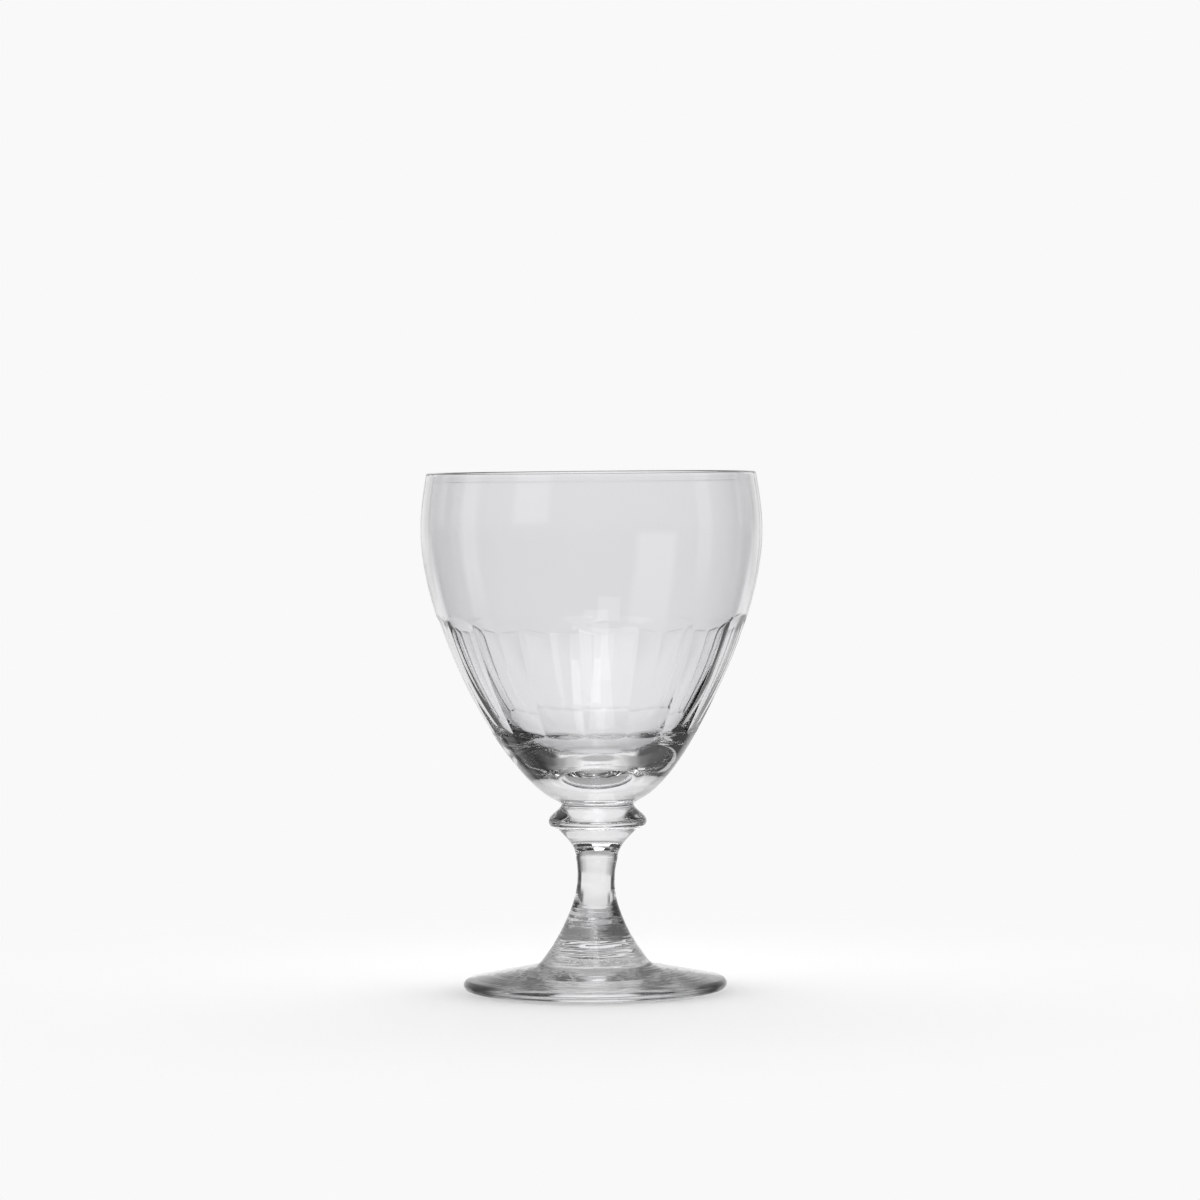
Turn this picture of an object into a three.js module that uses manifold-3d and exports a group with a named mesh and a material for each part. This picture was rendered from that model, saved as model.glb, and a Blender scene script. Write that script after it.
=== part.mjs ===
// A small stemmed glass with cut flutes, in clear glass: millimetres, +Z up, standing on z = 0.
// Four gathers of glass stand on each other, welded at flat round faces: foot, stem, knop and bowl.
// Each outline is a set of radii and heights that is spun about the vertical axis, with heights
// counted from the underside of its own piece.
import * as THREE from 'three';
import { mergeVertices } from 'three/addons/utils/BufferGeometryUtils.js';
import Module from 'manifold-3d';

// Foot: a thin sloping disc that rises into a hollow-sided cone
const FOOT_RADIUS = 28;
const FOOT_EDGE_THICKNESS = 2.4;
const FOOT_HEIGHT = 16.5;
const DISC_HEIGHT = 5.4;
const CONE_BASE_RADIUS = 11.8;
const CONE_PULL_RADIUS = 8;
const CONE_PULL_HEIGHT = 10.5;
const REST_RING_WIDTH = 3;
const UNDERSIDE_HOLLOW = 0.8;

// Stem: a thin drawn column that flares at both ends
const STEM_LENGTH = 12.75;
const STEM_RADIUS = 4.1;
const LOWER_FLARE_LENGTH = 6.5;
const LOWER_FLARE_TURN = 4;
const UPPER_FLARE_LENGTH = 4.75;
const UPPER_FLARE_TURN = 2.75;

// Knop: a bladed bead over a tapered neck
const KNOP_HEIGHT = 10.25;
const KNOP_RADIUS = 10.4;
const BLADE_NOSE_RADIUS = 1.4;
const BLADE_NOSE_HEIGHT = 6.5;
const BLADE_LEDGE = 0.5;
const TAPER_PULL_RADIUS = 5.5;
const TAPER_PULL_HEIGHT = 1.9;

// Bowl: an ovoid that is widest near its rim, with a thick base
const BOWL_HEIGHT = 70.5;
const BOWL_RADIUS = 36.3;
const BOWL_WIDEST_HEIGHT = 58.5;
const BOWL_BASE_PULL_RADIUS = 18.6;
const BOWL_BASE_PULL_HEIGHT = 5.25;
const BOWL_SIDE_PULL_HEIGHT = 32.5;
const BOWL_WALL = 1.9;
const RIM_RADIUS = 35;
const RIM_WALL = 1.8;
const RIM_TURN_HEIGHT = 63;
const FLOOR_THICKNESS = 7;
const CAVITY_SIDE_PULL_HEIGHT = 28.5;
const CAVITY_FLOOR_PULL_RADIUS = 16;

// Flutes: flat-bottomed cuts side by side around the lower bowl
const FLUTE_COUNT = 16;
const FLUTE_TURN_DEG = 6.25;
const FLUTE_BOTTOM_HEIGHT = 14;
const FLUTE_TOP_HEIGHT = 40.5;
const FLUTE_FOOT_DEPTH = 0.6;
const FLUTE_RUN_OUT = 1.2;

// Weld faces, shared by the two pieces that meet there
const FOOT_WELD_RADIUS = 5.6;
const STEM_WELD_RADIUS = 4.8;
const NECK_RADIUS = 7.7;

// Fineness of the facets
const ROUND_SEGMENTS = 64;

const GLASS_COLOUR = 0xeef1f2;
const GLASS_ROUGHNESS = 0.03;
const GLASS_OPACITY = 0.35;

const point = (radius, height) => new THREE.Vector2(radius, height);
const line = (from, to) => new THREE.LineCurve(from, to);
const bend = (from, pull, to) => new THREE.QuadraticBezierCurve(from, pull, to);

// An arc about a centre, turning anticlockwise between two angles in radians.
function arc(centre, radius, startAngle, endAngle) {
  return new THREE.EllipseCurve(centre.x, centre.y, radius, radius, startAngle, endAngle);
}

// Joins stretches of outline, each a curve and its number of steps, and spins them about +Z.
function spin(stretches) {
  const outline = stretches.flatMap(([curve, steps], index) => {
    const points = curve.getPoints(steps);
    return index === 0 ? points : points.slice(1);
  });
  const geometry = new THREE.LatheGeometry(outline, ROUND_SEGMENTS);
  geometry.rotateX(Math.PI / 2);
  return geometry;
}

// The foot's outline runs from the hollow underside round the edge and up the cone to the stem.
function footGeometry() {
  const edgeRadius = FOOT_EDGE_THICKNESS / 2;
  const edgeCentre = point(FOOT_RADIUS - edgeRadius, edgeRadius);
  const underside = point(0, UNDERSIDE_HOLLOW);
  const restInner = point(edgeCentre.x - REST_RING_WIDTH, 0);
  const restOuter = point(edgeCentre.x, 0);
  const discTop = point(edgeCentre.x, FOOT_EDGE_THICKNESS);
  const coneBase = point(CONE_BASE_RADIUS, DISC_HEIGHT);
  const weld = point(FOOT_WELD_RADIUS, FOOT_HEIGHT);
  return spin([
    [line(underside, restInner), 1],
    [line(restInner, restOuter), 1],
    [arc(edgeCentre, edgeRadius, -Math.PI / 2, Math.PI / 2), 8],
    [line(discTop, coneBase), 1],
    [bend(coneBase, point(CONE_PULL_RADIUS, CONE_PULL_HEIGHT), weld), 8],
    [line(weld, point(0, FOOT_HEIGHT)), 1],
  ]);
}

// The stem's outline is a straight column between two flares.
function stemGeometry() {
  const upperStart = STEM_LENGTH - UPPER_FLARE_LENGTH;
  const lowerEnd = point(STEM_RADIUS, LOWER_FLARE_LENGTH);
  const columnTop = point(STEM_RADIUS, upperStart);
  const foot = point(FOOT_WELD_RADIUS, 0);
  const head = point(STEM_WELD_RADIUS, STEM_LENGTH);
  return spin([
    [line(point(0, 0), foot), 1],
    [bend(foot, point(STEM_RADIUS, LOWER_FLARE_TURN), lowerEnd), 6],
    [line(lowerEnd, columnTop), 1],
    [bend(columnTop, point(STEM_RADIUS, STEM_LENGTH - UPPER_FLARE_TURN), head), 6],
    [line(head, point(0, STEM_LENGTH)), 1],
  ]);
}

// The knop's outline flares up the taper, steps out to the blade, and leans back to the bowl.
function knopGeometry() {
  const noseCentre = point(KNOP_RADIUS - BLADE_NOSE_RADIUS, BLADE_NOSE_HEIGHT);
  const bladeUnderside = BLADE_NOSE_HEIGHT - BLADE_NOSE_RADIUS;
  const weld = point(STEM_WELD_RADIUS, 0);
  const taperTop = point(noseCentre.x - BLADE_LEDGE, bladeUnderside);
  const neck = point(NECK_RADIUS, KNOP_HEIGHT);
  // The flank leaves the round nose where a line from the neck touches it.
  const toNeck = neck.clone().sub(noseCentre);
  const touchAngle = toNeck.angle() - Math.acos(BLADE_NOSE_RADIUS / toNeck.length());
  const nose = arc(noseCentre, BLADE_NOSE_RADIUS, -Math.PI / 2, touchAngle);
  return spin([
    [line(point(0, 0), weld), 1],
    [bend(weld, point(TAPER_PULL_RADIUS, TAPER_PULL_HEIGHT), taperTop), 7],
    [line(taperTop, nose.getPoint(0)), 1],
    [nose, 7],
    [line(nose.getPoint(1), neck), 1],
    [line(neck, point(0, KNOP_HEIGHT)), 1],
  ]);
}

// The bowl's outer side from the knop to its widest place, which the flutes are cut into.
const bowlSide = new THREE.CubicBezierCurve(
  point(NECK_RADIUS, 0),
  point(BOWL_BASE_PULL_RADIUS, BOWL_BASE_PULL_HEIGHT),
  point(BOWL_RADIUS, BOWL_SIDE_PULL_HEIGHT),
  point(BOWL_RADIUS, BOWL_WIDEST_HEIGHT),
);

// The uncut bowl's outline goes up the outside, over the round rim and down to the cavity's floor.
function bowlBlankGeometry() {
  const lipRadius = RIM_WALL / 2;
  const lipCentre = point(RIM_RADIUS - lipRadius, BOWL_HEIGHT - lipRadius);
  const rimOuter = point(RIM_RADIUS, lipCentre.y);
  const rimInner = point(RIM_RADIUS - RIM_WALL, lipCentre.y);
  const widest = point(BOWL_RADIUS, BOWL_WIDEST_HEIGHT);
  const cavityRadius = BOWL_RADIUS - BOWL_WALL;
  const cavityWidest = point(cavityRadius, BOWL_WIDEST_HEIGHT);
  const cavityFloor = point(0, FLOOR_THICKNESS);
  const cavitySide = new THREE.CubicBezierCurve(
    cavityWidest,
    point(cavityRadius, CAVITY_SIDE_PULL_HEIGHT),
    point(CAVITY_FLOOR_PULL_RADIUS, FLOOR_THICKNESS),
    cavityFloor,
  );
  return spin([
    [line(point(0, 0), point(NECK_RADIUS, 0)), 1],
    [bowlSide, 16],
    [bend(widest, point(BOWL_RADIUS, RIM_TURN_HEIGHT), rimOuter), 3],
    [arc(lipCentre, lipRadius, 0, Math.PI), 6],
    [bend(rimInner, point(cavityRadius, RIM_TURN_HEIGHT), cavityWidest), 3],
    [cavitySide, 14],
  ]);
}

// The uncut bowl's outer radius at a height below its widest place, found by halving the curve.
function blankRadiusAt(height) {
  let low = 0;
  let high = 1;
  while (high - low > 1e-6) {
    const middle = (low + high) / 2;
    if (bowlSide.getPoint(middle).y < height) low = middle;
    else high = middle;
  }
  return bowlSide.getPoint(low).x;
}

// The solid that one flute takes away, facing along +X. Its inner side is the flute's floor: a
// straight slope that comes out of the bowl at the top, and a short steep end at the bottom.
function fluteCutter() {
  const bottom = point(blankRadiusAt(FLUTE_BOTTOM_HEIGHT), FLUTE_BOTTOM_HEIGHT);
  const top = point(blankRadiusAt(FLUTE_TOP_HEIGHT), FLUTE_TOP_HEIGHT);
  const floorHeight = FLUTE_BOTTOM_HEIGHT + FLUTE_RUN_OUT;
  const floor = point(blankRadiusAt(floorHeight) - FLUTE_FOOT_DEPTH, floorHeight);
  // Both ends run on past the bowl's skin, so that the cut breaks through it cleanly.
  const below = bottom.clone().add(bottom).sub(floor);
  const above = top.clone().lerp(floor, -0.25);
  const clear = Math.max(BOWL_RADIUS, above.x) + FLUTE_RUN_OUT;
  const shape = new THREE.Shape([below, point(clear, below.y), point(clear, above.y), above, floor]);
  const width = 2 * BOWL_RADIUS * Math.tan(Math.PI / FLUTE_COUNT);
  const geometry = new THREE.ExtrudeGeometry(shape, { depth: width, bevelEnabled: false });
  geometry.rotateX(Math.PI / 2);
  geometry.translate(0, width / 2, 0);
  return geometry;
}

const wasm = await Module();
wasm.setup();

// A closed solid from a geometry, with its shared corners joined and its flat slivers left out.
function toSolid(geometry) {
  const bare = geometry.clone();
  bare.deleteAttribute('normal');
  bare.deleteAttribute('uv');
  const merged = mergeVertices(bare);
  const corners = merged.index.array;
  const triangles = [];
  for (let first = 0; first < corners.length; first += 3) {
    const [a, b, c] = corners.slice(first, first + 3);
    if (a !== b && b !== c && c !== a) triangles.push(a, b, c);
  }
  return new wasm.Manifold(new wasm.Mesh({
    numProp: 3,
    vertProperties: new Float32Array(merged.attributes.position.array),
    triVerts: new Uint32Array(triangles),
  }));
}

// A geometry from a solid.
function toGeometry(solid) {
  const { vertProperties, triVerts } = solid.getMesh();
  const geometry = new THREE.BufferGeometry();
  geometry.setAttribute('position', new THREE.BufferAttribute(vertProperties, 3));
  geometry.setIndex(new THREE.BufferAttribute(triVerts, 1));
  geometry.computeVertexNormals();
  return geometry;
}

// The bowl is its blank with the ring of flutes cut away.
function bowlGeometry() {
  let solid = toSolid(bowlBlankGeometry());
  for (let flute = 0; flute < FLUTE_COUNT; flute += 1) {
    const turn = THREE.MathUtils.degToRad(FLUTE_TURN_DEG) + (flute * 2 * Math.PI) / FLUTE_COUNT;
    solid = solid.subtract(toSolid(fluteCutter().rotateZ(turn)));
  }
  return toGeometry(solid);
}

// One piece in its own clear glass, standing at the height of the weld face below it.
function piece(name, geometry, height) {
  const material = new THREE.MeshStandardMaterial({
    color: GLASS_COLOUR,
    roughness: GLASS_ROUGHNESS,
    metalness: 0,
    transparent: true,
    opacity: GLASS_OPACITY,
  });
  const mesh = new THREE.Mesh(geometry, material);
  mesh.name = name;
  mesh.position.z = height;
  return mesh;
}

const stemBase = FOOT_HEIGHT;
const knopBase = stemBase + STEM_LENGTH;
const bowlBase = knopBase + KNOP_HEIGHT;

const glass = new THREE.Group();
glass.add(piece('foot', footGeometry(), 0));
glass.add(piece('stem', stemGeometry(), stemBase));
glass.add(piece('knop', knopGeometry(), knopBase));
glass.add(piece('bowl', bowlGeometry(), bowlBase));

export default glass;
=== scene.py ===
"""The looks of a small stemmed glass with cut flutes: clear glass, a white table and studio light."""
import math

import bpy
import numpy as np
from mathutils import Matrix, Vector


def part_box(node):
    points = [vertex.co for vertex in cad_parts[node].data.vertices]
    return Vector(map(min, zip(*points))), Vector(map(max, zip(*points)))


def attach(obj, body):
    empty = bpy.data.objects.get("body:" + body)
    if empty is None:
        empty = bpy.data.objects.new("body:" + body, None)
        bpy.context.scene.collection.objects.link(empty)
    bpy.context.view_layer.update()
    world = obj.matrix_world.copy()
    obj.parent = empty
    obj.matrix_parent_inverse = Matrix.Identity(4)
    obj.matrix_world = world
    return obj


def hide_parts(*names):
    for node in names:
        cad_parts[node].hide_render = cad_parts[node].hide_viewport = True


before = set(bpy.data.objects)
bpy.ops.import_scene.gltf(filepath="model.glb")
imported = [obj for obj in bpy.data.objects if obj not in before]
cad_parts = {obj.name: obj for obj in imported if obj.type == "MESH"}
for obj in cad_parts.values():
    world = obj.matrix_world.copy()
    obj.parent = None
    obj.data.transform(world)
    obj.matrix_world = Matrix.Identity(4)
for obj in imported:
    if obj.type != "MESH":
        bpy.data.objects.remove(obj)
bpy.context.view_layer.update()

MM = 0.001

# Foot: a thin sloping disc that rises into a hollow-sided cone
FOOT_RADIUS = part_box("foot")[1].x
FOOT_EDGE_THICKNESS = 2.4 * MM
DISC_HEIGHT = 5.4 * MM
CONE_BASE_RADIUS = 12.0 * MM
CONE_PULL = (7.7 * MM, 10.6 * MM)
CONE_FILLET = 0.7 * MM
REST_RING_WIDTH = 3.0 * MM
UNDERSIDE_HOLLOW = 0.8 * MM
FOOT_STEP = 0.1 * MM
UNDERSIDE_STEP = 0.6 * MM

# Stem: a thin drawn column that flares at both ends
STEM_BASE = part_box("stem")[0].z
STEM_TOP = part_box("stem")[1].z
FOOT_WELD_RADIUS = 5.45 * MM
STEM_RADIUS = 3.97 * MM
STEM_WELD_RADIUS = 4.63 * MM
LOWER_FLARE_LENGTH = 7.25 * MM
LOWER_FLARE_TURN = 3.6 * MM
SHOULDER_RADIUS = 4.45 * MM
SHOULDER_DROP = 1.3 * MM
UPPER_FLARE_LENGTH = 5.2 * MM
UPPER_FLARE_TURN = 3.2 * MM
GROOVE_RADIUS = 4.34 * MM
GROOVE_DROP = 0.75 * MM
STEM_STEP = 0.12 * MM

# Knop: a bladed bead over a tapered neck
KNOP_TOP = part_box("knop")[1].z
KNOP_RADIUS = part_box("knop")[1].x
NECK_RADIUS = 7.66 * MM
NECK_PULL = 1.1 * MM
BLADE_NOSE_RADIUS = 1.4 * MM
BLADE_NOSE_HEIGHT = STEM_TOP + 6.65 * MM
BLADE_PULL = 1.4 * MM
BLADE_LEDGE = 0.3 * MM
TAPER_PULLS = ((5.1 * MM, STEM_TOP + 1.55 * MM), (5.95 * MM, STEM_TOP + 2.55 * MM))
KNOP_STEP = 0.12 * MM

# Bowl: an ovoid that is widest near its rim, with a thick base
BOWL_BASE = KNOP_TOP
BOWL_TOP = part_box("bowl")[1].z
BOWL_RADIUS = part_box("bowl")[1].x
BOWL_WIDEST = BOWL_BASE + 58.5 * MM
NECK_CORNER = BOWL_BASE + 0.35 * MM
FLARE_START = (9.4 * MM, BOWL_BASE + 1.12 * MM)
BOWL_BASE_PULL = (18.8 * MM, BOWL_BASE + 5.6 * MM)
BOWL_SIDE_PULL = (BOWL_RADIUS, BOWL_BASE + 37.5 * MM)
BOWL_WALL = 1.9 * MM
RIM_RADIUS = 35.0 * MM
RIM_WALL = 1.8 * MM
RIM_TURN = BOWL_BASE + 63.0 * MM
RIM_STEP = 0.25 * MM
LIP_HEIGHT = 0.3 * MM
BEAD_HEIGHT = 2.0 * MM
BEAD_RUN = 0.45 * MM
BEAD_DEPTH = 0.05 * MM
CAVITY_FLOOR = BOWL_BASE + 6.55 * MM
CAVITY_SIDE_PULL = (BOWL_RADIUS - BOWL_WALL, BOWL_BASE + 37.0 * MM)
CAVITY_FLOOR_PULL = (22.0 * MM, CAVITY_FLOOR)
BOWL_STEP = 0.7 * MM

# Flutes: flat cuts side by side around the lower bowl, with a short slope at either end
FLUTE_COUNT = 16
FLUTE_TURN = math.radians(6.25)
FLUTE_BOTTOM = BOWL_BASE + 15.0 * MM
FLUTE_TOP = BOWL_BASE + 40.3 * MM
FLUTE_BOTTOM_SLOPE = 0.5
FLUTE_TOP_SLOPE = 0.25
FLUTE_END_BEND = 0.7
RIDGE_DEPTH = 0.05 * MM
RIDGE_ROUNDING = 0.08 * MM
EDGE_ROUNDING = 0.06 * MM
FLOOR_ROUNDING = 0.3 * MM

# Columns across a flute: how far those near a ridge are from it, and how many there are between
FLUTE_RIDGE_STEPS = np.array([0.0, 0.08, 0.17, 0.28, 0.5, 0.9]) * MM
FLUTE_INNER_COLUMNS = 9

# Meshes: columns around the spun pieces, points on curves and arcs, and the angle from which an edge is sharp
SPUN_COLUMNS = 256
CURVE_STEPS = 400
BLANK_STEPS = 4000
ARC_STEPS = 120
LIP_STEPS = 28
SAME_POINT = 1e-6 * MM
HALVINGS = 50
SHARP_ANGLE = math.radians(50.0)

# Rings left by the tools that spread the hot foot: wavelength, height and how often they bend around it
TOOL_RINGS = ((0.62 * MM, 0.0065 * MM, 3), (0.9 * MM, 0.015 * MM, 3), (1.37 * MM, 0.017 * MM, 2),
              (2.3 * MM, 0.024 * MM, 1), (3.7 * MM, 0.028 * MM, 2))
TOOL_RINGS_START = 0.3 * MM
TOOL_RINGS_RISE = 2.4 * MM
TOOL_RINGS_TOP = 17.5 * MM
TOOL_RINGS_FADE = 3.0 * MM
TOOL_RINGS_ON_DISC = 0.6
# How far the rings bend, in radians, in their own bends and in finer ones, which are so many more around
TOOL_BEND = 1.1
TOOL_FINE_BEND = 0.6
TOOL_MORE_BENDS = 4
# How much weaker the rings are in patches, how many more patches than bends, and a patch's length
TOOL_PATCH = 0.4
TOOL_MORE_PATCHES = 2
TOOL_PATCH_LENGTH = 7.0 * MM
# The turn in radians from one set of rings to the next, of its bends and of its patches
TOOL_BEND_TURN = 1.7
TOOL_PATCH_TURN = 2.1
# Rings in the floor of the bowl
FLOOR_RINGS = ((1.6 * MM, 0.0012 * MM, 2), (2.3 * MM, 0.0018 * MM, 1))
FLOOR_RINGS_REACH = 21.0 * MM
FLOOR_RINGS_FADE = 6.0 * MM
FLOOR_RINGS_START = 2.0 * MM
FLOOR_STEP = 0.36 * MM

# A hand-made glass: the knop sits a little to one side of the axis
LEAN = 0.8 * MM
LEAN_HEIGHT = 38.0 * MM
LEAN_REACH = 27.0 * MM

# Surfaces: the noise levels from the smoothest to the roughest place, and how fine marks and waves are
MARK_LEVELS = (0.35, 0.75)
MARK_DETAIL = 3.0
WAVE_DETAIL = 1.0

# Clear glass with a cold tint
GLASS_TINT = (0.986, 0.986, 0.996, 1.0)
GLASS_IOR = 1.52
GLASS_ROUGHNESS = (0.0, 0.0035)
GLASS_MARK_SIZE = 12.0 * MM
GLASS_WAVE_SIZE = 7.0 * MM
GLASS_WAVE_HEIGHT = 0.004 * MM

# Camera, from the photograph's viewing angle
CAMERA_DISTANCE = 1.12
CAMERA_HEIGHT = 118.0 * MM
CAMERA_AIM = Vector((1.7 * MM, 0.0, 82.8 * MM))
CAMERA_ROLL = math.radians(-0.5)
CAMERA_LENS = 158.4
CAMERA_SENSOR = 36.0
CAMERA_NEAR = 0.01

# Enough bounces for light to pass through every wall of the glass
BOUNCES = 32
GLOSSY_BOUNCES = 12

# Studio
BACKGROUND = 0.947
# A ring of light around the horizon: its level at the sides, how much more of it comes from behind than from
# in front, how much more from both than from the sides, and how fast it fades with height
RING_LEVELS = (38.0, 20.0, -10.0)
RING_LOWNESS = 8.0
# A broad light behind the glass, and how narrow it is
BACK_LIGHT = 2.0
BACK_LIGHT_FOCUS = 4.0
TABLE_ALBEDO = 0.9
TABLE_ROUGHNESS = (0.9, 1.0)
TABLE_GRAIN_SIZE = 3.0 * MM
TABLE_GRAIN_HEIGHT = 0.002 * MM
TABLE_RADIUS = 0.6
TABLE_CORNERS = 96
TABLE_FADE = (0.07, 0.19)
TABLE_DROP = 0.05 * MM
# Brightness of the studio for glass, against the bearing in degrees from straight behind the glass, where
# the right is positive. There is a white backdrop behind the glass.
LEVEL_AROUND = ((-180, 0.06), (-110, 0.04), (-97, 0.04), (-93, 0.6), (-83, 0.6), (-78, 0.06), (-60, 0.1),
                (-50, 0.18), (-40, 0.4), (-30, 0.6), (-18, 0.8), (0, 0.84), (18, 0.8), (30, 0.6),
                (40, 0.35), (50, 0.12), (60, 0.03), (90, 0.02), (130, 0.03), (180, 0.06))
HIGH_AROUND = ((-180, 0.05), (-120, 0.03), (-90, 0.04), (-60, 0.08), (-46, 0.28), (-30, 0.45), (0, 0.38),
               (30, 0.45), (46, 0.26), (60, 0.03), (90, 0.02), (120, 0.02), (180, 0.05))
LOW_AROUND = ((-180, 0.08), (-97, 0.05), (-93, 0.6), (-83, 0.6), (-78, 0.06), (-46, 0.1), (-38, 0.85),
              (0, 0.9), (38, 0.85), (46, 0.08), (118, 0.05), (123, 0.75), (147, 0.75), (152, 0.08),
              (180, 0.08))
NEAR_AROUND = ((-180, 0.1), (-70, 0.1), (-55, 0.1), (-51, 0.75), (-39, 0.75), (-35, 0.2), (-24, 0.78),
               (0, 0.8), (24, 0.78), (34, 0.12), (70, 0.1), (116, 0.1), (122, 0.6), (148, 0.6), (154, 0.1),
               (180, 0.1))
# Painted shade: the levels that glass sees well below it stand in for the table lying in shade under the foot
PAINTED_SHADE_UNDER = ((-180, 0.36), (-150, 0.3), (-120, 0.12), (-80, 0.12), (-40, 0.34), (0, 0.42), (40, 0.34),
                (90, 0.24), (140, 0.32), (180, 0.36))
# Each band of heights in degrees over which the studio changes from the level one, and what it changes to
BANDS = ((8.0, 22.0, HIGH_AROUND), (0.5, -4.0, LOW_AROUND), (-14.0, -24.0, NEAR_AROUND),
         (-30.0, -42.0, PAINTED_SHADE_UNDER))
# What light that mirrors nowhere in the glass shows in front of it: the level of a pale wall, what its soft
# upright stripes add, their number around, and where it starts and is full, from 0 at the sides to -1
FRONT_LEVEL = 0.77
FRONT_STRIPE_LEVEL = 0.15
FRONT_STRIPES = 12.0
FRONT_SEEN_FROM = (-0.12, -0.45)
# What the same light shows below the glass: the level of a pale table, and the heights in degrees where it
# starts and is full
TABLE_LEVEL = 0.72
TABLE_SEEN_FROM = (-45.0, -62.0)
# Soft lights: where they are and aim at, their width and length, all in metres, and their brightness.
# One hangs over the glass with a brighter middle, and a low one in front is what the front flute mirrors.
SOFT_LIGHTS = {
    "overhead": ((-0.11, -0.8, 1.5), (-0.11, -0.8, 0.0), 0.71, 2.4, 1.3),
    "overhead_middle": ((0.06, -0.9, 1.49), (0.06, -0.9, 0.0), 0.27, 0.9, 1.6),
    "low_front": ((0.49, -2.14, -1.98), (0.0, 0.0, 0.07), 0.77, 1.5, 1.0),
}


def bezier(*pulls, steps=CURVE_STEPS):
    """Points along a Bezier curve of any degree."""
    share = np.linspace(0.0, 1.0, steps + 1)[:, None]
    levels = [np.broadcast_to(np.array(pull, float), (steps + 1, 2)) for pull in pulls]
    while len(levels) > 1:
        levels = [a * (1.0 - share) + b * share for a, b in zip(levels, levels[1:])]
    return levels[0]


def line(*points):
    """The corners of a straight or bent line."""
    return np.array(points, float)


def arc(centre, radius, start, end, steps=ARC_STEPS, rise=None):
    """Points on an arc between two angles in radians, of a circle or of an ellipse that is rise high."""
    angle = np.linspace(start, end, steps + 1)
    up = radius if rise is None else rise
    return np.stack([centre[0] + radius * np.cos(angle), centre[1] + up * np.sin(angle)], axis=1)


def joined(*stretches):
    """One outline from stretches that follow each other, without repeated points."""
    points = np.concatenate(stretches)
    apart = np.linalg.norm(np.diff(points, axis=0), axis=1) > SAME_POINT
    return points[np.concatenate([[True], apart])]


def spaced(outline, step):
    """The same outline with points about a step apart."""
    lengths = np.linalg.norm(np.diff(outline, axis=0), axis=1)
    along = np.concatenate([[0.0], np.cumsum(lengths)])
    stops = np.linspace(0.0, along[-1], max(2, round(along[-1] / step) + 1))
    return np.stack([np.interp(stops, along, outline[:, axis]) for axis in (0, 1)], axis=1)


def leaned(points):
    """Points moved sideways by the lean at their height."""
    share = np.clip((points[:, 2] - LEAN_HEIGHT) / LEAN_REACH, -1.0, 1.0)
    moved = points.copy()
    moved[:, 0] += LEAN * np.cos(share * math.pi / 2.0) ** 2
    return moved


def skin(name, rings, base, tip, glass_material, base_weld=None, tip_weld=None):
    """A closed piece from rings of points, with its two ends closed to a point on the axis.
    An end that is a weld face has the weld's material."""
    count, columns = rings.shape[:2]
    points = leaned(np.concatenate([rings.reshape(-1, 3), [base, tip]]))
    base_index = count * columns
    column = np.arange(columns)
    after = (column + 1) % columns
    row = (np.arange(count - 1) * columns)[:, None]
    quads = np.stack([row + column, row + after, row + columns + after, row + columns + column], axis=2)
    last = (count - 1) * columns
    base_fan = np.stack([after, column, np.full(columns, base_index)], axis=1)
    tip_fan = np.stack([last + column, last + after, np.full(columns, base_index + 1)], axis=1)
    faces = quads.reshape(-1, 4).tolist() + base_fan.tolist() + tip_fan.tolist()
    mesh = bpy.data.meshes.new(name)
    mesh.from_pydata(points.tolist(), [], faces)
    mesh.polygons.foreach_set("use_smooth", np.ones(len(faces), bool))
    mesh.materials.append(glass_material)
    slots = np.zeros(len(faces), np.int32)
    for weld, first in ((base_weld, len(faces) - 2 * columns), (tip_weld, len(faces) - columns)):
        if weld is not None:
            if len(mesh.materials) == 1:
                mesh.materials.append(weld)
            slots[first:first + columns] = 1
    mesh.polygons.foreach_set("material_index", slots)
    mesh.set_sharp_from_angle(angle=SHARP_ANGLE)
    mesh.update()
    piece = bpy.data.objects.new(name, mesh)
    bpy.context.scene.collection.objects.link(piece)
    return piece


def spun(name, outline, glass_material, base_weld=None, tip_weld=None, finish=None):
    """A closed piece from an outline that starts and ends on the axis, spun about it."""
    turn = np.arange(SPUN_COLUMNS) * 2.0 * math.pi / SPUN_COLUMNS
    body = outline[1:-1]
    rings = np.stack([
        body[:, :1] * np.cos(turn),
        body[:, :1] * np.sin(turn),
        np.repeat(body[:, 1:], SPUN_COLUMNS, axis=1),
    ], axis=2)
    if finish:
        rings = finish(rings)
    base = (0.0, 0.0, outline[0, 1])
    tip = (0.0, 0.0, outline[-1, 1])
    return skin(name, rings, base, tip, glass_material, base_weld, tip_weld)


def towards(start, end, distance):
    """The point at a distance from start on the way to end."""
    start, end = np.array(start), np.array(end)
    return start + (end - start) * distance / np.linalg.norm(end - start)


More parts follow.
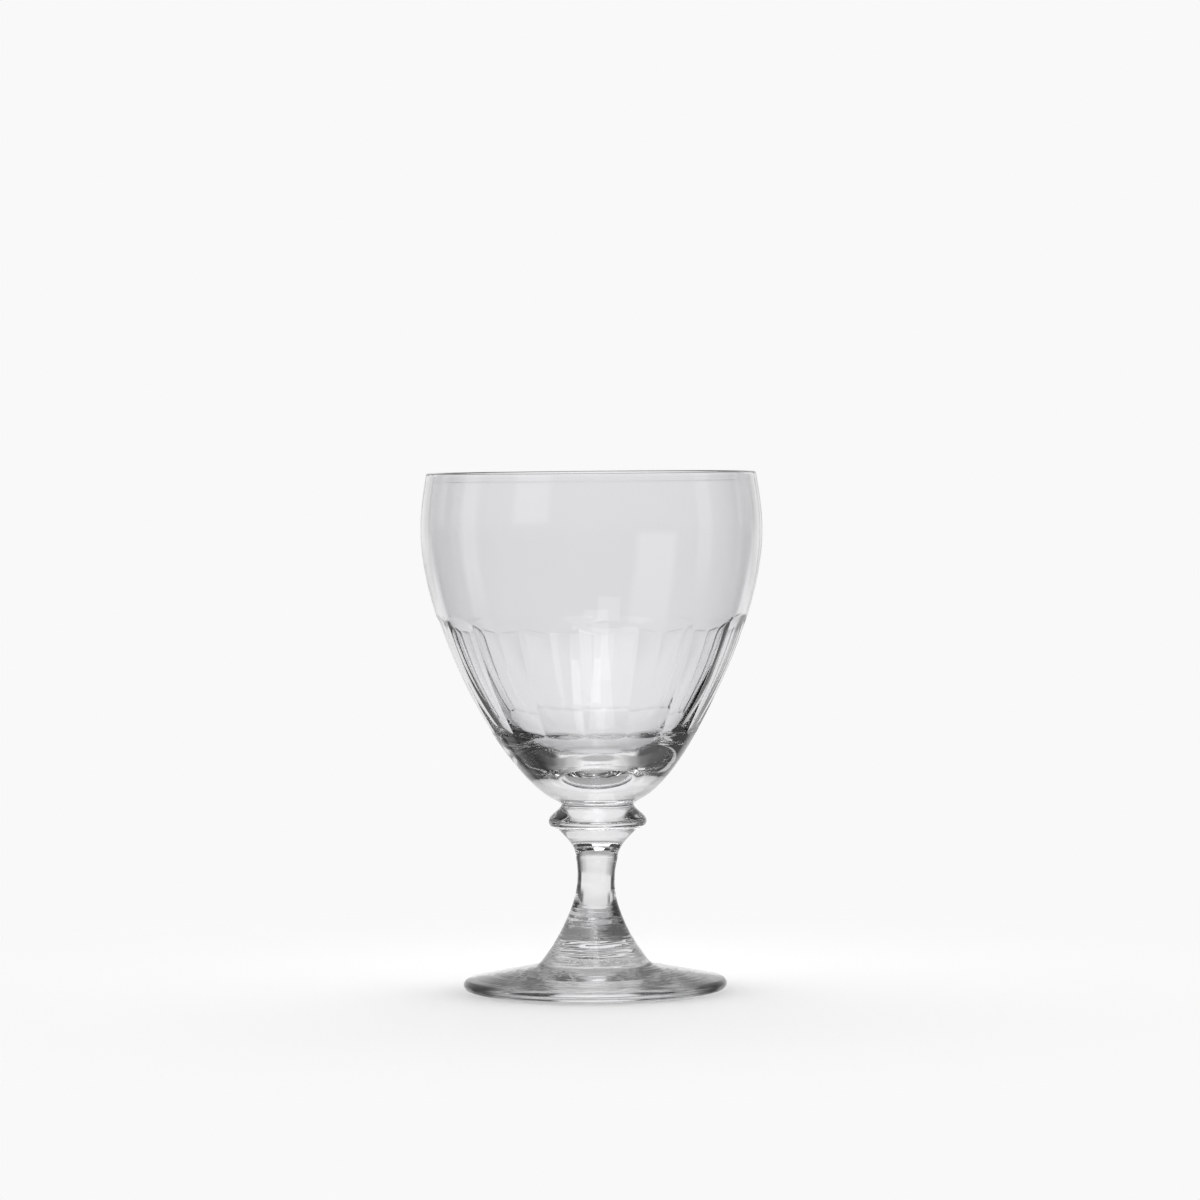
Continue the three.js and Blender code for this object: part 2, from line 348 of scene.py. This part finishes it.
def foot_outline():
    """From the hollow underside round the edge and up the cone to the stem."""
    edge = FOOT_EDGE_THICKNESS / 2.0
    edge_centre = (FOOT_RADIUS - edge, edge)
    edge_top = (edge_centre[0], FOOT_EDGE_THICKNESS)
    rest_inner = (edge_centre[0] - REST_RING_WIDTH, 0.0)
    cone_base = (CONE_BASE_RADIUS, DISC_HEIGHT)
    weld = (FOOT_WELD_RADIUS, STEM_BASE)
    underside = bezier((0.0, UNDERSIDE_HOLLOW), (rest_inner[0] / 2.0, UNDERSIDE_HOLLOW), rest_inner)
    round_edge = arc(edge_centre, edge, -math.pi / 2.0, math.pi / 2.0)
    fillet_start = towards(cone_base, edge_top, CONE_FILLET)
    fillet_end = towards(cone_base, CONE_PULL, CONE_FILLET)
    fillet = bezier(fillet_start, cone_base, fillet_end)
    cone = bezier(fillet_end, CONE_PULL, weld)
    below = spaced(joined(underside, line((edge_centre[0], 0.0))), UNDERSIDE_STEP)
    above = spaced(joined(round_edge, fillet, cone), FOOT_STEP)
    return joined(below, above, line((0.0, STEM_BASE)))


def ripples(marks, along, around):
    """Heights of the ripples that tools left, by the distance along an outline and the angle around it."""
    total = np.zeros(np.broadcast(along, around).shape)
    for index, (wavelength, depth, turns) in enumerate(marks):
        bend = TOOL_BEND * np.sin(turns * around + TOOL_BEND_TURN * index)
        bend += TOOL_FINE_BEND * np.sin((turns + TOOL_MORE_BENDS) * around - index)
        patch = (turns + TOOL_MORE_PATCHES) * around + TOOL_PATCH_TURN * index + along / TOOL_PATCH_LENGTH
        strength = 1.0 - TOOL_PATCH + TOOL_PATCH * np.sin(patch)
        total += depth * strength * np.sin(2.0 * math.pi * along / wavelength + bend)
    return total


def tooled(rings):
    """Rings moved in and out by the ripples that shaping tools left, which fade at the stem."""
    across = np.hypot(rings[..., 0], rings[..., 1])
    around = np.arctan2(rings[..., 1], rings[..., 0])
    height = rings[..., 2]
    steps = np.hypot(np.diff(across[:, 0]), np.diff(height[:, 0]))
    along = np.concatenate([[0.0], np.cumsum(steps)])[:, None]
    ripple = ripples(TOOL_RINGS, along, around)
    over = np.gradient(across[:, 0], along[:, 0])
    up = np.gradient(height[:, 0], along[:, 0])
    share = np.clip((TOOL_RINGS_TOP - height) / TOOL_RINGS_FADE, 0.0, 1.0)
    share *= np.clip((height - TOOL_RINGS_START) / TOOL_RINGS_RISE, 0.0, 1.0)
    share *= np.interp(height, (DISC_HEIGHT, DISC_HEIGHT + TOOL_RINGS_FADE), (TOOL_RINGS_ON_DISC, 1.0))
    moved = rings.copy()
    push = ripple * share
    moved[..., 0] += push * up[:, None] * np.cos(around)
    moved[..., 1] += push * up[:, None] * np.sin(around)
    moved[..., 2] -= push * over[:, None]
    return moved


def stem_outline():
    """A straight column between two flares, with a fine groove under the knop."""
    lower_end = (STEM_RADIUS, STEM_BASE + LOWER_FLARE_LENGTH)
    upper_start = (STEM_RADIUS, STEM_TOP - UPPER_FLARE_LENGTH)
    shoulder = (SHOULDER_RADIUS, STEM_TOP - SHOULDER_DROP)
    groove = (GROOVE_RADIUS, STEM_TOP - GROOVE_DROP)
    lower = bezier((FOOT_WELD_RADIUS, STEM_BASE), (STEM_RADIUS, STEM_BASE + LOWER_FLARE_TURN), lower_end)
    upper = bezier(upper_start, (STEM_RADIUS, STEM_TOP - UPPER_FLARE_TURN), shoulder)
    neck = bezier(shoulder, groove, (STEM_WELD_RADIUS, STEM_TOP))
    side = spaced(joined(lower, upper, neck), STEM_STEP)
    return joined(line((0.0, STEM_BASE)), side, line((0.0, STEM_TOP)))


def knop_outline():
    """Up the taper, out to the blade, round its nose and in a hollow curve to the bowl."""
    nose_centre = np.array((KNOP_RADIUS - BLADE_NOSE_RADIUS, BLADE_NOSE_HEIGHT))
    taper_top = nose_centre - (BLADE_LEDGE, BLADE_NOSE_RADIUS)
    taper = bezier((STEM_WELD_RADIUS, STEM_TOP), *TAPER_PULLS, taper_top)
    nose = arc(nose_centre, BLADE_NOSE_RADIUS, -math.pi / 2.0, 0.0)
    shoulder = bezier((KNOP_RADIUS, BLADE_NOSE_HEIGHT), (KNOP_RADIUS, BLADE_NOSE_HEIGHT + BLADE_PULL),
                      (NECK_RADIUS, KNOP_TOP - NECK_PULL), (NECK_RADIUS, KNOP_TOP))
    side = spaced(joined(taper, nose, shoulder), KNOP_STEP)
    return joined(line((0.0, STEM_TOP)), side, line((0.0, KNOP_TOP)))


def blank_outline():
    """The uncut bowl's outside, from the weld over a small hollow to its widest place."""
    hollow = bezier((NECK_RADIUS, BOWL_BASE), (NECK_RADIUS, NECK_CORNER), FLARE_START)
    side = bezier(FLARE_START, BOWL_BASE_PULL, BOWL_SIDE_PULL, (BOWL_RADIUS, BOWL_WIDEST), steps=BLANK_STEPS)
    return joined(hollow, side)


BLANK = blank_outline()


def blank_radius(height):
    """The uncut bowl's outer radius at heights up to its widest place."""
    return np.interp(height, BLANK[:, 1], BLANK[:, 0])


def smooth_least(a, b, width):
    """The smaller of two values, rounded over where they differ by less than width."""
    near = np.maximum(width - np.abs(a - b), 0.0) / width
    return np.minimum(a, b) - near * near * width / 4.0


def smooth_most(a, b, width):
    """The larger of two values, rounded over where they differ by less than width."""
    return -smooth_least(-a, -b, width)


def flute_floor(height, turn):
    """Distance from the axis to the flat floor of a flute, at an angle from its middle."""
    half = math.pi / FLUTE_COUNT
    middle = (blank_radius(height) - RIDGE_DEPTH) * math.cos(half)
    return smooth_least(middle / np.cos(turn), middle / np.cos(2.0 * half - np.abs(turn)), RIDGE_ROUNDING)


def flute_top(height, turn):
    """Distance from the axis to the slope at the top of a flute, which bends less than the floor's flat."""
    depth = FLUTE_TOP_SLOPE * (FLUTE_TOP - height)
    return (blank_radius(height) - depth) / np.cos(FLUTE_END_BEND * turn)


def flute_foot(height, turn):
    """Distance from the axis to the slope at the bottom of a flute."""
    depth = FLUTE_BOTTOM_SLOPE * (height - FLUTE_BOTTOM)
    return (blank_radius(height) - depth) / np.cos(FLUTE_END_BEND * turn)


def cut_radius(height, turn):
    """The bowl's outer radius at a height and at an angle from the middle of a flute."""
    cut = smooth_most(flute_floor(height, turn), flute_top(height, turn), FLOOR_ROUNDING)
    cut = smooth_most(cut, flute_foot(height, turn), FLOOR_ROUNDING)
    return smooth_least(blank_radius(height), cut, EDGE_ROUNDING)


def crossings(first, second, turns, low, high):
    """The heights between low and high where two surfaces of a flute cross, at angles from its middle."""
    low, high = np.full(len(turns), low), np.full(len(turns), high)
    first_above = first(low, turns) > second(low, turns)
    for _ in range(HALVINGS):
        middle = (low + high) / 2.0
        before = (first(middle, turns) > second(middle, turns)) == first_above
        low, high = np.where(before, middle, low), np.where(before, high, middle)
    return low


def flute_lines(turns):
    """The heights of a flute's bottom edge, its floor's lower and upper ends, and its top edge."""
    def uncut(height, turn):
        return blank_radius(height)
    middle = (FLUTE_BOTTOM + FLUTE_TOP) / 2.0
    return (
        crossings(flute_foot, uncut, turns, FLUTE_BOTTOM - MM, middle),
        crossings(flute_foot, flute_floor, turns, FLUTE_BOTTOM - MM, middle),
        crossings(flute_top, flute_floor, turns, middle, FLUTE_TOP + MM),
        crossings(flute_top, uncut, turns, middle, FLUTE_TOP + MM),
    )


def flute_turns():
    """Angles across one flute from its middle, closer together at its ridges."""
    half = math.pi / FLUTE_COUNT
    ridge_steps = FLUTE_RIDGE_STEPS / BOWL_RADIUS
    inner = np.linspace(-half + ridge_steps[-1], half - ridge_steps[-1], FLUTE_INNER_COLUMNS)
    return np.concatenate([-half + ridge_steps[:-1], inner, (half - ridge_steps[1:-1])[::-1]])


def row_shares(count, close_start=(), close_end=()):
    """Shares of the way between two lines of the bowl, with extra ones close to either line."""
    even = np.linspace(0.0, 1.0, count + 1)[1:]
    return np.unique(np.concatenate([even, close_start, 1.0 - np.array(close_end)]))


# Rows of the bowl's mesh: under the flutes, their foot, their floor, their top slope, and over them
BOWL_ROWS = (
    row_shares(20, close_end=(0.01, 0.02)),
    row_shares(8, close_start=(0.06,), close_end=(0.06,)),
    row_shares(32, close_start=(0.004, 0.01), close_end=(0.004, 0.01)),
    row_shares(10, close_start=(0.04,), close_end=(0.04,)),
    row_shares(24, close_start=(0.008, 0.016)),
)


def rim_outline():
    """From the bowl's widest place over the lip and down inside, with a faint bead under the lip."""
    cavity_radius = BOWL_RADIUS - BOWL_WALL
    lip_base = BOWL_TOP - LIP_HEIGHT
    outside = spaced(bezier((BOWL_RADIUS, BOWL_WIDEST), (BOWL_RADIUS, RIM_TURN),
                            (RIM_RADIUS - BEAD_DEPTH, lip_base)), RIM_STEP)
    share = np.clip((outside[:, 1] - BOWL_TOP + BEAD_HEIGHT) / BEAD_RUN, 0.0, 1.0)
    outside[:, 0] += BEAD_DEPTH * share * share * (3.0 - 2.0 * share)
    lip_centre = (RIM_RADIUS - RIM_WALL / 2.0, lip_base)
    lip = arc(lip_centre, RIM_WALL / 2.0, 0.0, math.pi, steps=LIP_STEPS, rise=LIP_HEIGHT)
    inside = bezier((RIM_RADIUS - RIM_WALL, lip_base), (cavity_radius, RIM_TURN),
                    (cavity_radius, BOWL_WIDEST))
    return joined(outside, lip, spaced(inside, BOWL_STEP))


def cavity_outline():
    """Down the inside of the bowl to its floor on the axis."""
    side = (BOWL_RADIUS - BOWL_WALL, BOWL_WIDEST)
    wall = bezier(side, CAVITY_SIDE_PULL, CAVITY_FLOOR_PULL, (0.0, CAVITY_FLOOR))
    rippled = wall[:, 0] < FLOOR_RINGS_REACH
    return joined(spaced(wall[~rippled], BOWL_STEP), spaced(wall[rippled], FLOOR_STEP))


def floor_ripples(outline, around):
    """Heights of the ripples in the bowl's floor, which fade out up its side and at its middle."""
    across = outline[:, :1]
    inside = np.arange(len(outline))[:, None] > np.argmax(outline[:, 1])
    share = np.clip((FLOOR_RINGS_REACH - across) / FLOOR_RINGS_FADE, 0.0, 1.0)
    share *= np.clip(across / FLOOR_RINGS_START, 0.0, 1.0)
    return ripples(FLOOR_RINGS, across, around) * share * inside


def bowl_rings():
    """Rings of the bowl's skin: up the outside, over the rim and down to the cavity's floor."""
    turns = flute_turns()
    local = np.tile(turns, FLUTE_COUNT)
    around = local + FLUTE_TURN + np.repeat(np.arange(FLUTE_COUNT), len(turns)) * 2.0 * math.pi / FLUTE_COUNT
    lines = [np.tile(edge, FLUTE_COUNT) for edge in flute_lines(turns)]
    lines = [np.full(len(around), BOWL_BASE), *lines, np.full(len(around), BOWL_WIDEST)]
    heights = [lines[0][None]]
    for low, high, shares in zip(lines, lines[1:], BOWL_ROWS):
        heights.append(low + shares[:, None] * (high - low))
    heights = np.concatenate(heights)
    radii = cut_radius(heights, local)
    spun_part = joined(rim_outline()[1:], cavity_outline()[:-1])
    radii = np.concatenate([radii, np.repeat(spun_part[:, :1], len(around), axis=1)])
    cavity = spun_part[:, 1:] + floor_ripples(spun_part, around)
    heights = np.concatenate([heights, cavity])
    return np.stack([radii * np.cos(around), radii * np.sin(around), heights], axis=2)


def noise(tree, size, detail):
    """A noise in the object's own coordinates, with patches of about a size."""
    place = tree.nodes.new("ShaderNodeTexCoord")
    node = tree.nodes.new("ShaderNodeTexNoise")
    node.inputs["Scale"].default_value = 1.0 / size
    node.inputs["Detail"].default_value = detail
    tree.links.new(place.outputs["Object"], node.inputs["Vector"])
    return node.outputs["Fac"]


def finish_surface(tree, shader, roughness, mark_size, wave_size, wave_height):
    """Gives a shader a roughness that varies in patches, and low waves."""
    marks = tree.nodes.new("ShaderNodeMapRange")
    marks.inputs["From Min"].default_value = MARK_LEVELS[0]
    marks.inputs["From Max"].default_value = MARK_LEVELS[1]
    marks.inputs["To Min"].default_value = roughness[0]
    marks.inputs["To Max"].default_value = roughness[1]
    tree.links.new(noise(tree, mark_size, MARK_DETAIL), marks.inputs["Value"])
    tree.links.new(marks.outputs["Result"], shader.inputs["Roughness"])
    waves = tree.nodes.new("ShaderNodeBump")
    waves.inputs["Strength"].default_value = 1.0
    waves.inputs["Distance"].default_value = wave_height
    tree.links.new(noise(tree, wave_size, WAVE_DETAIL), waves.inputs["Height"])
    tree.links.new(waves.outputs["Normal"], shader.inputs["Normal"])


def clear_glass():
    """Clear polished glass, with the faint waves of hand work and a trace of roughness in patches."""
    material = bpy.data.materials.new("clear_glass")
    material.use_nodes = True
    tree = material.node_tree
    shader = tree.nodes["Principled BSDF"]
    shader.inputs["Base Color"].default_value = GLASS_TINT
    shader.inputs["IOR"].default_value = GLASS_IOR
    shader.inputs["Transmission Weight"].default_value = 1.0
    finish_surface(tree, shader, GLASS_ROUGHNESS, GLASS_MARK_SIZE, GLASS_WAVE_SIZE, GLASS_WAVE_HEIGHT)
    return material


def weld_face():
    """A weld inside the glass, where light passes from one piece to the next as if they were one."""
    material = bpy.data.materials.new("weld_face")
    material.use_nodes = True
    nodes = material.node_tree.nodes
    nodes.remove(nodes["Principled BSDF"])
    shader = nodes.new("ShaderNodeBsdfTransparent")
    material.node_tree.links.new(shader.outputs["BSDF"], nodes["Material Output"].inputs["Surface"])
    return material


def build_glass():
    """The four pieces of the glass, each in place of its solid."""
    glass = clear_glass()
    weld = weld_face()
    rings = bowl_rings()
    pieces = {
        "foot": spun("foot_skin", foot_outline(), glass, tip_weld=weld, finish=tooled),
        "stem": spun("stem_skin", stem_outline(), glass, base_weld=weld, tip_weld=weld),
        "knop": spun("knop_skin", knop_outline(), glass, base_weld=weld, tip_weld=weld),
        "bowl": skin("bowl_skin", rings, (0.0, 0.0, BOWL_BASE), (0.0, 0.0, CAVITY_FLOOR), glass,
                     base_weld=weld),
    }
    for node, piece in pieces.items():
        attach(piece, "root")
        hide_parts(node)


def feed(tree, sockets, values):
    """Sets each socket to a number, or links an output to it."""
    for socket, value in zip(sockets, values):
        if isinstance(value, (int, float)):
            socket.default_value = value
        else:
            tree.links.new(value, socket)


def computed(tree, operation, *inputs):
    """The result of a math node."""
    node = tree.nodes.new("ShaderNodeMath")
    node.operation = operation
    feed(tree, node.inputs, inputs)
    return node.outputs["Value"]


def share_between(tree, value, start, end):
    """How far a value is on its way from start to end, from 0 to 1, with soft ends."""
    node = tree.nodes.new("ShaderNodeMapRange")
    node.interpolation_type = "SMOOTHSTEP"
    sockets = (node.inputs["Value"], node.inputs["From Min"], node.inputs["From Max"])
    feed(tree, sockets, (value, start, end))
    return node.outputs["Result"]


def mixed(tree, share, first, second):
    """A first level that turns into a second one by a share."""
    node = tree.nodes.new("ShaderNodeMix")
    node.data_type = "FLOAT"
    feed(tree, (node.inputs[0], node.inputs[2], node.inputs[3]), (share, first, second))
    return node.outputs[0]


def mixed_shader(tree, share, first, second):
    """A first shader that turns into a second one by a share."""
    node = tree.nodes.new("ShaderNodeMixShader")
    feed(tree, node.inputs, (share, first, second))
    return node.outputs["Shader"]


def levels_around(tree, levels, turn):
    """Levels at bearings in degrees, with soft steps between them, against a turn from 0 to 1."""
    node = tree.nodes.new("ShaderNodeValToRGB")
    node.color_ramp.interpolation = "EASE"
    elements = node.color_ramp.elements
    while len(elements) < len(levels):
        elements.new(0.5)
    for element, (bearing, level) in zip(elements, levels):
        element.position = bearing / 360.0 + 0.5
        element.color = (level, level, level, 1.0)
    tree.links.new(turn, node.inputs["Fac"])
    return node.outputs["Color"]


def build_table():
    """A white table that turns into the plain background away from the glass.
    Only the camera sees it: glass shows the studio instead."""
    bpy.ops.mesh.primitive_circle_add(vertices=TABLE_CORNERS, radius=TABLE_RADIUS, fill_type="NGON",
                                      location=(0.0, 0.0, -TABLE_DROP))
    table = bpy.context.object
    table.name = "table"
    material = bpy.data.materials.new("table_white")
    material.use_nodes = True
    tree = material.node_tree
    white = tree.nodes["Principled BSDF"]
    white.inputs["Base Color"].default_value = (TABLE_ALBEDO, TABLE_ALBEDO, TABLE_ALBEDO, 1.0)
    white.inputs["Specular IOR Level"].default_value = 0.0
    finish_surface(tree, white, TABLE_ROUGHNESS, TABLE_GRAIN_SIZE, TABLE_GRAIN_SIZE, TABLE_GRAIN_HEIGHT)
    plain = tree.nodes.new("ShaderNodeEmission")
    plain.inputs["Strength"].default_value = BACKGROUND
    clear = tree.nodes.new("ShaderNodeBsdfTransparent")
    place = tree.nodes.new("ShaderNodeTexCoord")
    distance = tree.nodes.new("ShaderNodeVectorMath")
    distance.operation = "LENGTH"
    tree.links.new(place.outputs["Object"], distance.inputs[0])
    fade = share_between(tree, distance.outputs["Value"], *TABLE_FADE)
    ground = mixed_shader(tree, fade, white.outputs["BSDF"], plain.outputs["Emission"])
    light_path = tree.nodes.new("ShaderNodeLightPath").outputs
    seen = mixed_shader(tree, light_path["Is Camera Ray"], clear.outputs["BSDF"], ground)
    tree.links.new(seen, tree.nodes["Material Output"].inputs["Surface"])
    table.data.materials.append(material)


def glass_studio(tree, direction, light_path):
    """What glass shows: a white backdrop between dark sides, and well below it a darker band that is painted
    shade of the table under the foot.
    Light that mirrors nowhere in the glass shows a pale wall in front of it and a pale table too."""
    bearing = computed(tree, "ARCTAN2", direction["X"], direction["Y"])
    turn = computed(tree, "MULTIPLY_ADD", bearing, 0.5 / math.pi, 0.5)
    height = computed(tree, "ARCSINE", direction["Z"])
    studio = levels_around(tree, LEVEL_AROUND, turn)
    for band_start, band_end, levels in BANDS:
        share = share_between(tree, height, math.radians(band_start), math.radians(band_end))
        studio = mixed(tree, share, studio, levels_around(tree, levels, turn))
    straight = computed(tree, "LESS_THAN", light_path["Glossy Depth"], 0.5)
    front_share = share_between(tree, direction["Y"], *FRONT_SEEN_FROM)
    stripes = computed(tree, "SINE", computed(tree, "MULTIPLY", bearing, FRONT_STRIPES))
    front = computed(tree, "MULTIPLY_ADD", stripes, FRONT_STRIPE_LEVEL, FRONT_LEVEL)
    studio = mixed(tree, computed(tree, "MULTIPLY", front_share, straight), studio, front)
    table_start, table_full = TABLE_SEEN_FROM
    table_share = share_between(tree, height, math.radians(table_start), math.radians(table_full))
    return mixed(tree, computed(tree, "MULTIPLY", table_share, straight), studio, TABLE_LEVEL)


def matt_light(tree, direction):
    """What lights matt surfaces: a low ring of light and a light behind the glass, above the table."""
    side_level, behind_level, both_level = RING_LEVELS
    ring = computed(tree, "MULTIPLY_ADD", direction["Y"], both_level, behind_level)
    ring = computed(tree, "MULTIPLY_ADD", direction["Y"], ring, side_level)
    lowness = computed(tree, "POWER", computed(tree, "SUBTRACT", 1.0, direction["Z"]), RING_LOWNESS)
    ring = computed(tree, "MULTIPLY", ring, lowness)
    behind = computed(tree, "MULTIPLY_ADD", direction["Y"], 0.5, 0.5)
    behind = computed(tree, "POWER", behind, BACK_LIGHT_FOCUS)
    light = computed(tree, "MULTIPLY_ADD", behind, BACK_LIGHT, ring)
    return computed(tree, "MULTIPLY", light, computed(tree, "GREATER_THAN", direction["Z"], 0.0))


def build_world():
    """White for the camera, a ring of light for matt surfaces, and a dim studio for glass."""
    world = bpy.data.worlds.new("studio")
    bpy.context.scene.world = world
    world.use_nodes = True
    tree = world.node_tree
    place = tree.nodes.new("ShaderNodeTexCoord")
    parts = tree.nodes.new("ShaderNodeSeparateXYZ")
    tree.links.new(place.outputs["Generated"], parts.inputs["Vector"])
    direction = parts.outputs
    light_path = tree.nodes.new("ShaderNodeLightPath").outputs
    glass_ray = computed(tree, "MAXIMUM", light_path["Is Transmission Ray"], light_path["Is Glossy Ray"])
    level = mixed(tree, glass_ray, matt_light(tree, direction), glass_studio(tree, direction, light_path))
    level = mixed(tree, light_path["Is Camera Ray"], level, BACKGROUND)
    background = tree.nodes["Background"]
    background.inputs["Color"].default_value = (1.0, 1.0, 1.0, 1.0)
    tree.links.new(level, background.inputs["Strength"])


def build_lights():
    """Soft lights that only glass shows."""
    for name, (place, aim, wide, long, brightness) in SOFT_LIGHTS.items():
        light = bpy.data.lights.new(name, "AREA")
        light.shape = "RECTANGLE"
        light.size = wide
        light.size_y = long
        light.energy = brightness * math.pi * wide * long
        lamp = bpy.data.objects.new(name, light)
        bpy.context.scene.collection.objects.link(lamp)
        lamp.location = place
        lamp.rotation_euler = (Vector(aim) - Vector(place)).to_track_quat("-Z", "Y").to_euler()
        lamp.visible_camera = False
        lamp.visible_diffuse = False


def build_camera():
    """A long lens a little above the rim, with the photograph's slight roll."""
    camera = bpy.data.cameras.new("camera")
    camera.lens = CAMERA_LENS
    camera.sensor_width = CAMERA_SENSOR
    camera.clip_start = CAMERA_NEAR
    holder = bpy.data.objects.new("camera", camera)
    bpy.context.scene.collection.objects.link(holder)
    holder.location = (0.0, -CAMERA_DISTANCE, CAMERA_HEIGHT)
    look = (CAMERA_AIM - holder.location).to_track_quat("-Z", "Y").to_matrix().to_4x4()
    roll = Matrix.Rotation(CAMERA_ROLL, 4, "Z")
    holder.rotation_euler = (look @ roll).to_euler()
    bpy.context.scene.camera = holder


def set_render():
    """How colours are shown, and how often light may bounce."""
    scene = bpy.context.scene
    scene.view_settings.view_transform = "Standard"
    scene.cycles.max_bounces = BOUNCES
    scene.cycles.transmission_bounces = BOUNCES
    scene.cycles.glossy_bounces = GLOSSY_BOUNCES
    scene.cycles.transparent_max_bounces = BOUNCES


build_camera()
build_glass()
build_table()
build_world()
build_lights()
set_render()
